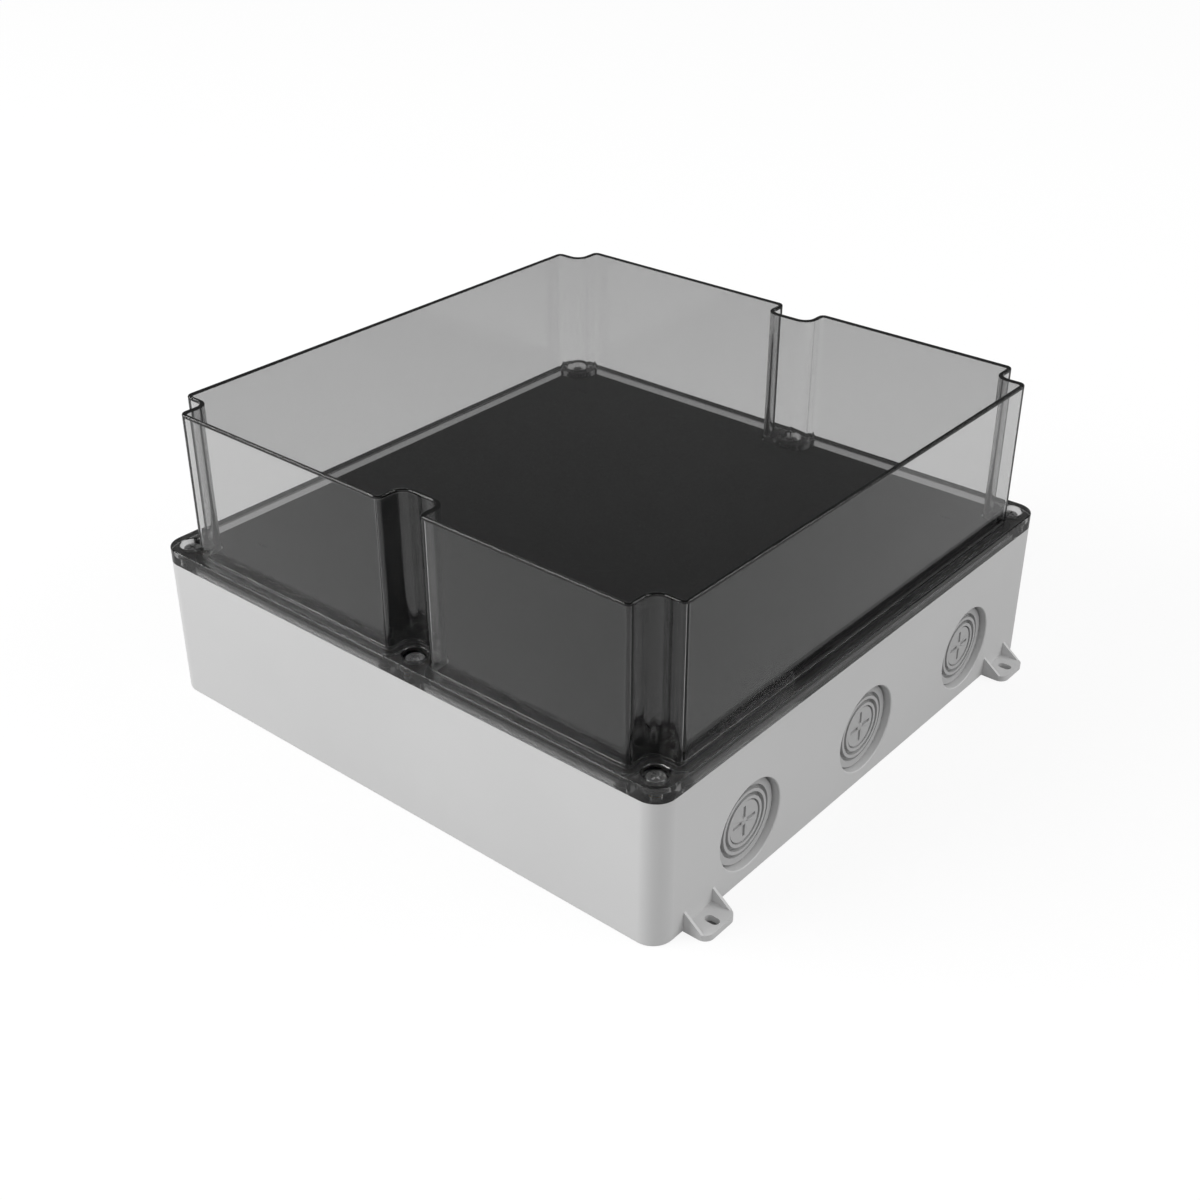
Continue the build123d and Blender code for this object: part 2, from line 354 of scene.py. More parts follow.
# %% Turned parts
def turned(name, outline, steps=64):
    """Draws an outline of (radius, height) points from one vertex, then spins it round Z."""
    clear_selection()
    bpy.ops.mesh.primitive_plane_add(size=mm)
    piece = open_piece(name)
    bpy.ops.mesh.merge(type="CENTER")
    radius, height = outline[0]
    bpy.ops.transform.translate(value=(radius, 0, height))
    for here, there in zip(outline, outline[1:]):
        step = (there[0] - here[0], 0, there[1] - here[1])
        bpy.ops.mesh.extrude_vertices_move(TRANSFORM_OT_translate={"value": step})
    bpy.ops.mesh.select_all(action="SELECT")
    bpy.ops.mesh.spin(steps=steps, angle=2 * pi, center=(0, 0, 0), axis=(0, 0, 1))
    close_piece()
    return piece


# %% [markdown]
# ## The clear cover
# The real cover is one polycarbonate moulding. Its wall is blown up here from the fluted sheet:
# a small rounded foot, the long straight wall and a rounded top edge. A flange with the box's
# own outline is added at the foot, and then the inside, the seal's groove and the screws' holes
# are cut out. It stays one closed wall, because light bends and darkens between its two faces.

# %% Cover wall and flange
wall = 3 * mm
top_round = 1.0 * mm
inner_round = 0.1 * mm
foot_round = 0.5 * mm
flange_round = 0.7 * mm
flange_under_round = 0.3 * mm
seam_gap = 0.05 * mm
flange_foot = base_top + seam_gap

clear_cover = fluted_sheet("clear_cover", foot_round, flange_top - buried)
lift(buried)
lift_by_steps(reversed(quarter_round(foot_round, 4)))
lift(cover_top - top_round - flange_top - foot_round)
lift_by_steps(quarter_round(top_round, 6))
close_piece()

flange = square_sheet("flange", flange_foot)
lift(flange_top - flange_round - flange_foot)
lift_by_steps(quarter_round(flange_round, 4))
round_edges(lambda p: near(p.z, flange_foot), flange_under_round, 2)
close_piece()
combine(clear_cover, flange, "UNION")
print("Cover outside:", len(clear_cover.data.polygons), "faces")

# %% Cover inside, groove and screw holes
inside = fluted_sheet("inside", -wall, base_top - buried)
lift(cover_top - wall - inner_round - base_top + buried)
lift_by_steps(quarter_round(inner_round, 2))
close_piece()
combine(clear_cover, inside, "DIFFERENCE")

groove_width = 4 * mm
groove_outside = 3.5 * mm
groove_height = 4 * mm
groove_top = base_top + groove_height
groove = ring_on_wall("groove", groove_outside, groove_width, base_top - buried, groove_top)
combine(clear_cover, groove, "DIFFERENCE")

seat_height = 3.5 * mm
screw_seat = base_top + seat_height
screw_hole = 3.4 * mm
head_room = 7.5 * mm
lead_in = 0.5 * mm
cutter = turned("screw_cutter", [
    (0, base_top - buried), (screw_hole, base_top - buried), (screw_hole, screw_seat),
    (head_room, screw_seat), (head_room, flange_top - lead_in),
    (head_room + 2 * lead_in, flange_top + lead_in), (0, flange_top + lead_in),
], steps=48)
cutters = copies_at(screw_spots.values(), cutter, "cutter")
combine(clear_cover, join_pieces(cutters, "cutters"), "DIFFERENCE")
print("Cover with its holes:", len(clear_cover.data.polygons), "faces")

# %% [markdown]
# ## Finishes
# Each finish is a Principled shader with a little noise in the part's own Object coordinates.
# Noise gives moulded plastic its fine spark-eroded grain, metal its brushed streaks and rubber
# its dull bloom. What is the same all over the part is typed straight into the shader.

# %% Helpers for finishes
noise_low = 0.3
noise_high = 0.7


def grey(tone):
    return (tone, tone, tone)


def set_range(node, from_low, from_high, to_low, to_high):
    """Fills in a Map Range node."""
    values = {"From Min": from_low, "From Max": from_high, "To Min": to_low, "To Max": to_high}
    for socket, value in values.items():
        node.inputs[socket].default_value = value


class Finish:
    """A Principled shader with helpers that add noise to its colour, roughness and relief."""

    def __init__(self, name, colour, roughness, **values):
        self.material = bpy.data.materials.new(name)
        self.material.use_nodes = True
        self.nodes = self.material.node_tree.nodes
        self.links = self.material.node_tree.links
        self.shader = self.nodes["Principled BSDF"]
        self.shader.inputs["Base Color"].default_value = (*colour, 1)
        self.shader.inputs["Roughness"].default_value = roughness
        for socket, value in values.items():
            self.shader.inputs[socket.replace("_", " ")].default_value = value

    def noise(self, scale, detail=3.0, stretch=(1, 1, 1)):
        place = self.nodes.new("ShaderNodeTexCoord")
        mapping = self.nodes.new("ShaderNodeMapping")
        mapping.inputs["Scale"].default_value = stretch
        noise = self.nodes.new("ShaderNodeTexNoise")
        noise.inputs["Scale"].default_value = scale
        noise.inputs["Detail"].default_value = detail
        self.links.new(place.outputs["Object"], mapping.inputs["Vector"])
        self.links.new(mapping.outputs["Vector"], noise.inputs["Vector"])
        return noise.outputs["Fac"]

    def spread(self, source, low, high):
        spread = self.nodes.new("ShaderNodeMapRange")
        set_range(spread, noise_low, noise_high, low, high)
        self.links.new(source, spread.inputs["Value"])
        return spread.outputs["Result"]

    def vary_roughness(self, source, low, high):
        self.links.new(self.spread(source, low, high), self.shader.inputs["Roughness"])

    def vary_colour(self, source, dark, light):
        mix = self.nodes.new("ShaderNodeMix")
        mix.data_type = "RGBA"
        mix.inputs["A"].default_value = (*dark, 1)
        mix.inputs["B"].default_value = (*light, 1)
        self.links.new(self.spread(source, 0.0, 1.0), mix.inputs["Factor"])
        self.links.new(mix.outputs["Result"], self.shader.inputs["Base Color"])

    def relief(self, source, depth):
        bump = self.nodes.new("ShaderNodeBump")
        bump.inputs["Strength"].default_value = 1.0
        bump.inputs["Distance"].default_value = depth
        self.links.new(source, bump.inputs["Height"])
        self.links.new(bump.outputs["Normal"], self.shader.inputs["Normal"])


# %% [markdown]
# ## Smoked polycarbonate
# The cover is clear plastic with a grey dye all through it, so its edges and its long sight
# lines are darker than its faces. A surface tint can't do that. The dye is an absorbing volume
# inside the wall, and the surface stays colourless, polished and slightly uneven.

# %% Clear cover finish
refraction = 1.49
dye_density = 175.0
smoked = Finish("smoked_polycarbonate", grey(1), 0.01, Transmission_Weight=1.0, IOR=refraction)
dye = smoked.nodes.new("ShaderNodeVolumeAbsorption")
dye.inputs["Color"].default_value = (*grey(0.5), 1)
dye.inputs["Density"].default_value = dye_density
smoked.links.new(dye.outputs["Volume"], smoked.nodes["Material Output"].inputs["Volume"])
smoked.vary_roughness(smoked.noise(60.0), 0.0, 0.02)
dress(clear_cover, smoked.material, "cover", "smoked_clear", "lid_cover")

# %% [markdown]
# ## The seal
# A cord of grey foam lies in the groove of the flange and the base's tongue presses into it, so
# the foam swells down on both sides of the tongue. It shows through the smoked flange, so it
# needs its real width and place. It is a strip of the fluted line with the tongue's room cut out.

# %% Seal and its finish
foam = Finish("grey_foam", grey(0.16), 0.9)
foam.vary_colour(foam.noise(2500.0, 4.0), grey(0.15), grey(0.17))

tongue_height = 1.8 * mm
tongue_outside = 2.7 * mm
tongue_width = 2.4 * mm
seal_gap = 0.1 * mm
tongue_gap = 0.05 * mm
seal = ring_on_wall("seal", groove_outside - seal_gap, groove_width - 2 * seal_gap,
                    base_top + seal_gap, groove_top - seal_gap)
tongue_room = ring_on_wall("tongue_room", tongue_outside + tongue_gap,
                           tongue_width + 2 * tongue_gap,
                           base_top - past, base_top + tongue_height)
combine(seal, tongue_room, "DIFFERENCE")
dress(seal, foam.material, "cover", "gasket_foam", "lid_gasket")

# %% [markdown]
# ## The inner plate
# The plate is sheet steel with a black powder coat. It follows the fluted line just inside the
# cover's wall, and four flush screws hold it. Powder coat has a faint orange-peel relief that
# catches the light where the plate is seen at a low angle.

# %% Inner plate and its finish
powder = Finish("black_powder_coat", grey(0.012), 0.55, Specular_IOR_Level=0.2)
powder_grain = powder.noise(700.0, 2.0)
powder.vary_colour(powder.noise(9.0), grey(0.010), grey(0.014))
powder.vary_roughness(powder_grain, 0.48, 0.62)
powder.relief(powder_grain, 0.01 * mm)

plate_low, plate_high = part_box("mounting_plate")
plate_gap = -3.9 * mm
plate_edge = 0.3 * mm
inner_plate = fluted_sheet("inner_plate", plate_gap, plate_low.z)
lift(plate_high.z - plate_low.z - plate_edge)
lift_by_steps(quarter_round(plate_edge, 2))
close_piece()

pillar_line = 155 * mm
pillar_spots = [(x, y) for x in (-pillar_line, pillar_line) for y in (-pillar_line, pillar_line)]
shank_hole = 2.5 * mm
sink_radius = 4.6 * mm
sink_depth = 2.1 * mm
sink = turned("sink", [
    (0, plate_low.z - past), (shank_hole, plate_low.z - past),
    (shank_hole, plate_high.z - sink_depth), (sink_radius, plate_high.z),
    (sink_radius, plate_high.z + past), (0, plate_high.z + past),
], steps=40)
sinks = copies_at(pillar_spots, sink, "sink")
combine(inner_plate, join_pieces(sinks, "sinks"), "DIFFERENCE")
dress(inner_plate, powder.material, "base", "plate_black", "mounting_plate")

# %% [markdown]
# ## The grey base
# The base is a deep moulded tub. It starts as a solid block on the box's outline. The room
# inside is one cutter: straight walls, a slope that leads in to the rim, and the narrower
# mouth, so the rim is thick enough for the seal and the screws' inserts. The rim also carries
# the upstand that the plate lies on and the tongue that presses the seal.

# %% Block, upstand and room inside
floor_level = 4 * mm
base_wall = 3.5 * mm
upstand_out = -3.6 * mm
upstand_in = -6.6 * mm
upstand_height = 5 * mm
upstand_top = base_top + upstand_height
rim_depth = 8 * mm
rim_foot = base_top - rim_depth
foot_edge = 1 * mm
rim_edge = 0.4 * mm
room_reach = half_side - base_wall
mouth_reach = wall_line + upstand_in
slope = room_reach - mouth_reach

grey_base = square_sheet("grey_base", 0)
lift(base_top)
round_edges(lambda p: near(p.z, 0), foot_edge, 4)
round_edges(lambda p: near(p.z, base_top), rim_edge, 2)
close_piece()

upstand = fluted_sheet("upstand", upstand_out, base_top - buried)
lift(upstand_top - base_top + buried)
close_piece()
combine(grey_base, upstand, "UNION")

room = fluted_sheet("room", upstand_in, floor_level, reach=room_reach)
lift(rim_foot - slope - floor_level)
lift(slope)
for side in (-1, 1):
    pick("VERT", lambda p: near(p.z, rim_foot) and side * p.x > mouth_reach)
    bpy.ops.transform.translate(value=(-side * slope, 0, 0))
    pick("VERT", lambda p: near(p.z, rim_foot) and side * p.y > mouth_reach)
    bpy.ops.transform.translate(value=(0, -side * slope, 0))
pick("FACE", lambda p: near(p.z, rim_foot))
lift(upstand_top - rim_foot + past)
close_piece()
combine(grey_base, room, "DIFFERENCE")
print("Base tub:", len(grey_base.data.polygons), "faces")

# %% [markdown]
# ## What stands on the tub
# The collars round the entries, the bosses under the pillars, the seal's tongue and the wall
# lugs are modelled one at a time, joined and then welded to the tub in one step. A lug is an
# ear with rounded corners, a slot for the wall screw and a thin web at each side.

# %% Collars, bosses and tongue
entry_level = 36.6 * mm
entry_pitch = 118 * mm
entry_rows = {"front": -entry_pitch, "middle": 0.0, "back": entry_pitch}
entry_radius = 27.9 * mm
collar_wall = 3 * mm
collar_radius = entry_radius + collar_wall
collar_depth = 9 * mm
collar_edge = 0.4 * mm


def turned_into_wall(name, outline, steps=96):
    """A turned piece laid on its side in the middle of the right wall, its outside towards +X."""
    piece = turned(name, outline, steps)
    piece.rotation_euler.y = pi / 2
    piece.location = (half_side, 0, entry_level)
    bpy.ops.object.transform_apply(location=True, rotation=True, scale=True)
    return piece


def on_both_sides(rows, piece, name):
    """Copies at each row of the right and the left wall. The piece itself is used up."""
    copies = [copy_piece(piece, name, (0, row, 0), turn) for turn in (0.0, pi) for row in rows]
    bpy.data.objects.remove(piece)
    return copies


collar = turned_into_wall("collar", [
    (0, -collar_depth), (collar_radius - collar_edge, -collar_depth),
    (collar_radius, -collar_depth + collar_edge), (collar_radius, -base_wall / 2),
    (0, -base_wall / 2),
])
additions = on_both_sides(entry_rows.values(), collar, "collar")

boss_foot = floor_level - past
boss_top = floor_level + 12 * mm
boss_radius = 7 * mm
boss_edge = 0.5 * mm
boss = turned("boss", [
    (0, boss_foot), (boss_radius, boss_foot), (boss_radius, boss_top - boss_edge),
    (boss_radius - boss_edge, boss_top), (0, boss_top),
], steps=40)
additions += copies_at(pillar_spots, boss, "boss")

additions.append(ring_on_wall("tongue", tongue_outside, tongue_width,
                              base_top - past, base_top + tongue_height))
print(len(additions), "pieces to weld to the tub")

# %% Wall lugs
lug_reach = 16 * mm
lug_width = 27.5 * mm
lug_thickness = 4 * mm
lug_corner = 6 * mm
lug_row = 163.4 * mm
slot_middle = 9 * mm
half_slot = 4.5 * mm
slot_radius = 2.8 * mm
web_thickness = 1.8 * mm
web_height = 13.2 * mm
web_reach = 12 * mm
lug_edge = 0.35 * mm
almost_all = 0.995
into_wall = base_wall / 2


def block(name, low, high):
    """A box between two corners, open for editing."""
    clear_selection()
    middle = [(a + b) / 2 for a, b in zip(low, high)]
    size = [b - a for a, b in zip(low, high)]
    bpy.ops.mesh.primitive_cube_add(size=1, location=middle, scale=size)
    return open_piece(name)


half_lug = lug_width / 2
lug_tip = half_side + lug_reach
slot_x = half_side + slot_middle
lug = block("lug", (half_side - into_wall, -half_lug, 0), (lug_tip, half_lug, lug_thickness))
for side in (-1, 1):
    round_edges(lambda p: near(p.x, lug_tip) and near(p.y, side * half_lug), lug_corner, arc_steps)
close_piece()

slot_cutter = block("slot", (slot_x - half_slot, -slot_radius, -past),
                    (slot_x + half_slot, slot_radius, lug_thickness + past))
for end in (slot_x - half_slot, slot_x + half_slot):
    for side in (-slot_radius, slot_radius):
        round_edges(lambda p: near(p.x, end) and near(p.y, side), almost_all * slot_radius, 8)
close_piece()
combine(lug, slot_cutter, "DIFFERENCE")

for side in (-1, 1):
    web_low, web_high = sorted((side * half_lug, side * (half_lug - web_thickness)))
    web = block("web", (half_side, web_low, lug_thickness / 2),
                (half_side + web_reach, web_high, web_height))
    pick("VERT", lambda p: near(p.x, half_side + web_reach) and near(p.z, web_height))
    bpy.ops.transform.translate(value=(0, 0, lug_thickness - web_height))
    pick("FACE", lambda p: near(p.x, half_side))
    bpy.ops.mesh.extrude_region_move(TRANSFORM_OT_translate={"value": (-into_wall, 0, 0)})
    close_piece()
    combine(lug, web, "UNION")
soften(lug, lug_edge)
additions += on_both_sides((-lug_row, lug_row), lug, "lug")
combine(grey_base, join_pieces(additions, "additions"), "UNION")
print("Base with lugs and collars:", len(grey_base.data.polygons), "faces")

# %% Entry holes, stud holes and screw holes
entry_lip = 0.5 * mm
hole = turned_into_wall("hole", [
    (0, -collar_depth - past), (entry_radius, -collar_depth - past), (entry_radius, -entry_lip),
    (entry_radius + 2 * entry_lip, entry_lip), (0, entry_lip),
])
holes = on_both_sides(entry_rows.values(), hole, "hole")

stud_radius = 2.5 * mm
stud_foot = boss_top - 8.5 * mm
stud_hole = turned("stud_hole", [
    (0, stud_foot), (stud_radius, stud_foot), (stud_radius, boss_top + past), (0, boss_top + past),
], steps=32)
holes += copies_at(pillar_spots, stud_hole, "stud_hole")

insert_radius = 4.5 * mm
insert_length = 12 * mm
insert_foot = base_top - insert_length
well_radius = 3.3 * mm
well_foot = 74 * mm
screw_well = turned("screw_well", [
    (0, well_foot), (well_radius, well_foot), (well_radius, insert_foot),
    (insert_radius, insert_foot), (insert_radius, base_top + past), (0, base_top + past),
], steps=48)
holes += copies_at(screw_spots.values(), screw_well, "screw_well")
combine(grey_base, join_pieces(holes, "holes"), "DIFFERENCE")

# %% [markdown]
# ## Moulded grey plastic
# The base and the entry discs are light grey thermoplastic, and the discs are mouldings of their
# own. The discs get a darker grey, which is painted shade: it stands in for the shade that falls
# in the recessed entries. The mould is spark eroded, so the surface is satin with a grain of
# about half a millimetre, and the colour drifts by a percent or two over the length of a wall
# where the melt has flowed. One function gives both tones the same surface.

# %% Grey plastic finish
base_tone = 0.60
# The discs' darker tone is painted shade for their recessed entries.
disc_tone_painted_shade = 0.47
drift = 0.025
grain_depth = 0.012 * mm


def moulded_grey(name, tone):
    plastic = Finish(name, grey(tone), 0.45)
    grain = plastic.noise(1800.0, 3.0)
    plastic.vary_colour(plastic.noise(7.0, 4.0), grey((1 - drift) * tone), grey((1 + drift) * tone))
    plastic.vary_roughness(grain, 0.40, 0.52)
    plastic.relief(grain, grain_depth)
    return plastic.material


base_grey = moulded_grey("grey_thermoplastic", base_tone)
dress(grey_base, base_grey, "base", "case_grey", "base_shell")

# %% [markdown]
# ## Stepped entry discs
# Each round entry is closed by a disc with rings, so that the fitter cuts out the size that
# the cable needs. Rings could be stacked from tubes, but one outline spun round the entry's
# axis gives a single closed skin. A cross is cut in the middle where the knife starts, and soft
# edges on the rings catch the light that makes them readable in the photograph.

# %% One disc, then its copies
disc_out = 27.8 * mm
disc_inside = 25.8 * mm
disc_flange = 30.5 * mm
disc_skin = 1.5 * mm
disc_edge = 0.18 * mm
seat = -collar_depth
disc_back = seat - disc_skin
face = -4.4 * mm
groove_floor = -7.0 * mm
ridge_face = -3.8 * mm
fine_floor = -6.4 * mm
disc_underside = groove_floor - disc_skin
ring_steps = [(26.4, face), (22.3, groove_floor), (20.0, ridge_face), (18.1, groove_floor),
              (15.8, ridge_face), (13.9, fine_floor), (13.0, face)]

outline = [(0, disc_underside), (disc_inside, disc_underside), (disc_inside, disc_back),
           (disc_flange, disc_back), (disc_flange, seat), (disc_out, seat),
           (disc_out, groove_floor)]
level = groove_floor
for radius, next_level in ring_steps:
    outline += [(radius * mm, level), (radius * mm, next_level)]
    level = next_level
outline.append((0, face))
disc = turned_into_wall("disc", outline, steps=112)

arm_start = 2.4 * mm
arm_end = 10.3 * mm
arm_half = 1.1 * mm
arm_depth = 1.6 * mm
arm_foot = half_side + face - arm_depth
arm_top = half_side + face + past
arms = []
for direction in (-1, 1):
    near_end, far_end = sorted((direction * arm_start, direction * arm_end))
    arms.append(block("arm", (arm_foot, near_end, entry_level - arm_half),
                      (arm_top, far_end, entry_level + arm_half)))
    close_piece()
    arms.append(block("arm", (arm_foot, -arm_half, entry_level + near_end),
                      (arm_top, arm_half, entry_level + far_end)))
    close_piece()
combine(disc, join_pieces(arms, "arms"), "DIFFERENCE")
soften(disc, disc_edge)

# The discs' darker grey is painted shade, for the shade in the recesses.
disc_grey_painted_shade = moulded_grey("disc_grey_painted_shade", disc_tone_painted_shade)
for side_name, turn in (("right", 0.0), ("left", pi)):
    for row_name, row in entry_rows.items():
        name = f"entry_disc_{side_name}_{row_name}"
        copy = copy_piece(disc, f"stepped_{name}", (0, row, 0), turn)
        dress(copy, disc_grey_painted_shade, "base", "case_grey", name)
bpy.data.objects.remove(disc)

# %% [markdown]
# ## Cover screws
# The screws are stainless, with a low round head, a cross recess and a real M6 thread. The
# thread is one tooth drawn as an outline and wound up by the Screw modifier, a pitch for each
# turn, so it climbs just as far as the screw does when it turns. A pointed blank then trims
# the thread to its outside diameter and its tip.

# %% Threaded shank
washer_thickness = 1.0 * mm
head_foot = screw_seat + washer_thickness
shank_radius = 2.95 * mm
root_radius = 2.38 * mm
tooth_height = 0.62 * mm
pitch = 1.0 * mm
turns = 22
screw_length = 20 * mm
shank_tip = head_foot - screw_length
run_in = 1.4 * mm
tip_radius = 1.9 * mm
tip_length = 1.1 * mm
into_head = 0.3 * mm
merged = 0.002 * mm

clear_selection()
bpy.ops.mesh.primitive_plane_add(size=mm)
shank = open_piece("shank")
bpy.ops.mesh.merge(type="CENTER")
bpy.ops.transform.translate(value=(root_radius, 0, shank_tip - run_in))
tooth = [(0, 0.12), (tooth_height, 0.32), (0, 0.12), (-tooth_height, 0.32), (0, 0.12)]
for outwards, upwards in tooth:
    step = (outwards, 0, upwards * pitch)
    bpy.ops.mesh.extrude_vertices_move(TRANSFORM_OT_translate={"value": step})
bpy.ops.object.mode_set(mode="OBJECT")
winding = shank.modifiers.new("Thread", "SCREW")
winding.axis = "Z"
winding.steps = winding.render_steps = 24
winding.screw_offset = pitch
winding.iterations = turns
winding.use_merge_vertices = True
winding.merge_threshold = merged
apply_modifier(shank, winding)
bpy.ops.object.mode_set(mode="EDIT")
bpy.ops.mesh.select_all(action="SELECT")
bpy.ops.mesh.remove_doubles(threshold=merged)
bpy.ops.mesh.select_all(action="SELECT")
bpy.ops.mesh.fill_holes(sides=0)
bpy.ops.mesh.quads_convert_to_tris()
close_piece()

blank = turned("blank", [
    (0, shank_tip), (tip_radius, shank_tip), (shank_radius, shank_tip + tip_length),
    (shank_radius, head_foot + into_head), (0, head_foot + into_head),
], steps=48)
combine(shank, blank, "INTERSECT", "EXACT")
print("Threaded shank:", len(shank.data.polygons), "faces")

# %% Head with its cross recess
head_radius = 5.5 * mm
head_height = 3.2 * mm
head_top = head_foot + head_height
head_edge = 0.2 * mm
crown_round = 0.8 * mm
crown = [(head_radius - crown_round * (1 - cos(a)), head_top - crown_round * (1 - sin(a)))
         for a in (0, pi / 8, pi / 4, 3 * pi / 8, pi / 2)]
steel_screw = turned("steel_screw", [
    (0, head_foot), (head_radius - head_edge, head_foot), (head_radius, head_foot + head_edge),
    *crown, (0, head_top),
], steps=56)

recess_reach = 3.5 * mm
recess_half = 0.65 * mm
recess_depth = 1.6 * mm
soft_metal_edge = 0.12 * mm
for reach_x, reach_y in ((recess_reach, recess_half), (recess_half, recess_reach)):
    recess = block("recess", (-reach_x, -reach_y, head_top - recess_depth),
                   (reach_x, reach_y, head_top + past))
    close_piece()
    combine(steel_screw, recess, "DIFFERENCE")
soften(steel_screw, soft_metal_edge)
combine(steel_screw, shank, "UNION")

# %% Screw finish and the six screws
steel = Finish("stainless_steel", grey(0.55), 0.3, Metallic=1.0)
steel_streaks = steel.noise(900.0, 2.0, (1, 1, 0.15))
steel.vary_roughness(steel_streaks, 0.22, 0.42)
steel.relief(steel_streaks, 0.01 * mm)
for spot, (x, y) in screw_spots.items():
    screw = copy_piece(steel_screw, f"steel_screw_{spot}", (x, y, 0))
    dress(screw, steel.material, f"screw_{spot}", "screw_steel", f"lid_screw_{spot}")
bpy.data.objects.remove(steel_screw)

# %% [markdown]
# ## Sealing washers
# A rubber washer under each head keeps water out of the screw hole. It is a turned ring with
# rounded edges, and it comes up with its screw.

# %% Washers
rubber = Finish("black_rubber", grey(0.035), 0.7)
bloom = rubber.noise(600.0, 3.0)
rubber.vary_colour(bloom, grey(0.028), grey(0.045))
rubber.vary_roughness(bloom, 0.6, 0.8)

washer_bore = 3.35 * mm
washer_radius = 6.6 * mm
washer_edge = 0.3 * mm
washer = turned("washer", [
    (washer_bore, screw_seat), (washer_radius, screw_seat), (washer_radius, head_foot),
    (washer_bore, head_foot), (washer_bore, screw_seat),
], steps=56)
soften(washer, washer_edge, 3)
for spot, (x, y) in screw_spots.items():
    copy = copy_piece(washer, f"rubber_washer_{spot}", (x, y, 0))
    dress(copy, rubber.material, f"washer_{spot}", "washer_rubber", f"screw_washer_{spot}")
bpy.data.objects.remove(washer)

# %% [markdown]
# ## Brass inserts
# Each screw bites in a brass bush that is pressed hot into the base. Its collars are knurled so
# that it can't turn: every other column of points on the collars is drawn in a little.

# %% Knurled inserts
brass = Finish("brass", (0.72, 0.53, 0.25), 0.35, Metallic=1.0)
brass.vary_roughness(brass.noise(500.0), 0.28, 0.45)

insert_bore = 3.0 * mm
waist_radius = 4.0 * mm
waist_foot = insert_foot + 4 * mm
waist_top = insert_foot + 8 * mm
knurl_points = 48
valley_scale = 0.94
bush = turned("bush", [
    (insert_bore, insert_foot), (insert_radius, insert_foot), (insert_radius, waist_foot),
    (waist_radius, waist_foot), (waist_radius, waist_top), (insert_radius, waist_top),
    (insert_radius, base_top), (insert_bore, base_top), (insert_bore, insert_foot),
], steps=knurl_points)
bpy.ops.object.mode_set(mode="EDIT")


def is_valley(point):
    """Every second column of points on the two collars."""
    flat_place = point.to_2d()
    column = round(flat_place.angle_signed(Vector((1, 0)), 0) / (2 * pi) * knurl_points)
    return near(flat_place.length, insert_radius) and column % 2 == 0


pick("VERT", is_valley)
bpy.ops.transform.resize(value=(valley_scale, valley_scale, 1), center_override=(0, 0, 0))
close_piece()
inserts = join_pieces(copies_at(screw_spots.values(), bush, "bush"), "knurled_inserts")
dress(inserts, brass.material, "base", "insert_brass", "threaded_inserts")

# %% [markdown]
# ## Parts that stay as packed
# The pillars and the plate's own screws stand behind the black plate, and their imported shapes
# are right. They only need a zinc finish and the plate's black.

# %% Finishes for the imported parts
zinc = Finish("zinc_plate", (0.62, 0.62, 0.60), 0.4, Metallic=1.0)
zinc_bloom = zinc.noise(250.0, 3.0)
zinc.vary_colour(zinc_bloom, (0.56, 0.56, 0.54), (0.66, 0.66, 0.64))
zinc.vary_roughness(zinc_bloom, 0.32, 0.5)


def repaint(node, finish):
    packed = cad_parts[node]
    packed.data.materials.clear()
    packed.data.materials.append(finish.material)
    print(node, "keeps its packed shape")


repaint("plate_pillars", zinc)
repaint("plate_screws", powder)

# %% [markdown]
# ## Floor and light
# The photograph is a studio cut-out on pure white. A brighter lamp would clip the grey walls
# before the floor got there, so the floor glows instead, for the camera and for rays that pass
# through the cover, and a diffuse share keeps the object's own soft shadow. Rays that the
# cover's walls mirror see the paper dimmed by place, more so to the right and the back, which
# is a painted reflection. Under the lugs' slots the glow is masked off, a painted shadow.
# Overhead the world is dark to mirrored rays too, which leaves the top of the cover deep grey.
# To light that has met a matt surface the floor and the world are even and plain, and that
# sets the level on the walls.

# %% Floor
floor_size = 40.0
floor_gap = 0.02 * mm
glow_strength = 0.85
shade_margin = 0.2 * mm
# These dimming numbers set a painted reflection: the paper seen in the cover, dimmed by place.
painted_dimming_reach = 0.3
front_painted_dimming = 0.29
back_painted_dimming = 0.54
clear_selection()
bpy.ops.mesh.primitive_plane_add(size=floor_size, location=(0, 0, -floor_gap))
floor = bpy.context.object
floor.name = "floor"
bpy.ops.object.transform_apply(location=True)
paper = bpy.data.materials.new("white_paper")
paper.use_nodes = True
nodes, links = paper.node_tree.nodes, paper.node_tree.links
nodes.remove(nodes["Principled BSDF"])
rays = nodes.new("ShaderNodeLightPath")
matt = nodes.new("ShaderNodeBsdfDiffuse")
glow = nodes.new("ShaderNodeEmission")
both = nodes.new("ShaderNodeAddShader")
plain = nodes.new("ShaderNodeBsdfDiffuse")
chooser = nodes.new("ShaderNodeMixShader")
matt.inputs["Color"].default_value = (*grey(0.15), 1)
plain.inputs["Color"].default_value = (*grey(0.30), 1)


def arithmetic(operation, *values):
    """Adds a Math node that takes numbers or other nodes' outputs."""
    step = nodes.new("ShaderNodeMath")
    step.operation = operation
    for socket, value in zip(step.inputs, values):
        if isinstance(value, float):
            socket.default_value = value
        else:
            links.new(value, socket)
    return step.outputs["Value"]


# Under the lugs' slots the paper's glow is masked off by place, a painted shadow in the slots.
place = nodes.new("ShaderNodeTexCoord")
split = nodes.new("ShaderNodeSeparateXYZ")
links.new(place.outputs["Object"], split.inputs["Vector"])
shade_reach = slot_x + half_slot + shade_margin
shade_half = half_lug - web_thickness
painted_shadow_by_wall = arithmetic("LESS_THAN", arithmetic("ABSOLUTE", split.outputs["X"]), shade_reach)
painted_shadow_by_row = arithmetic("COMPARE", arithmetic("ABSOLUTE", split.outputs["Y"]), lug_row, shade_half)
outside_painted_shadow = arithmetic("SUBTRACT", 1.0, arithmetic("MULTIPLY", painted_shadow_by_wall, painted_shadow_by_row))
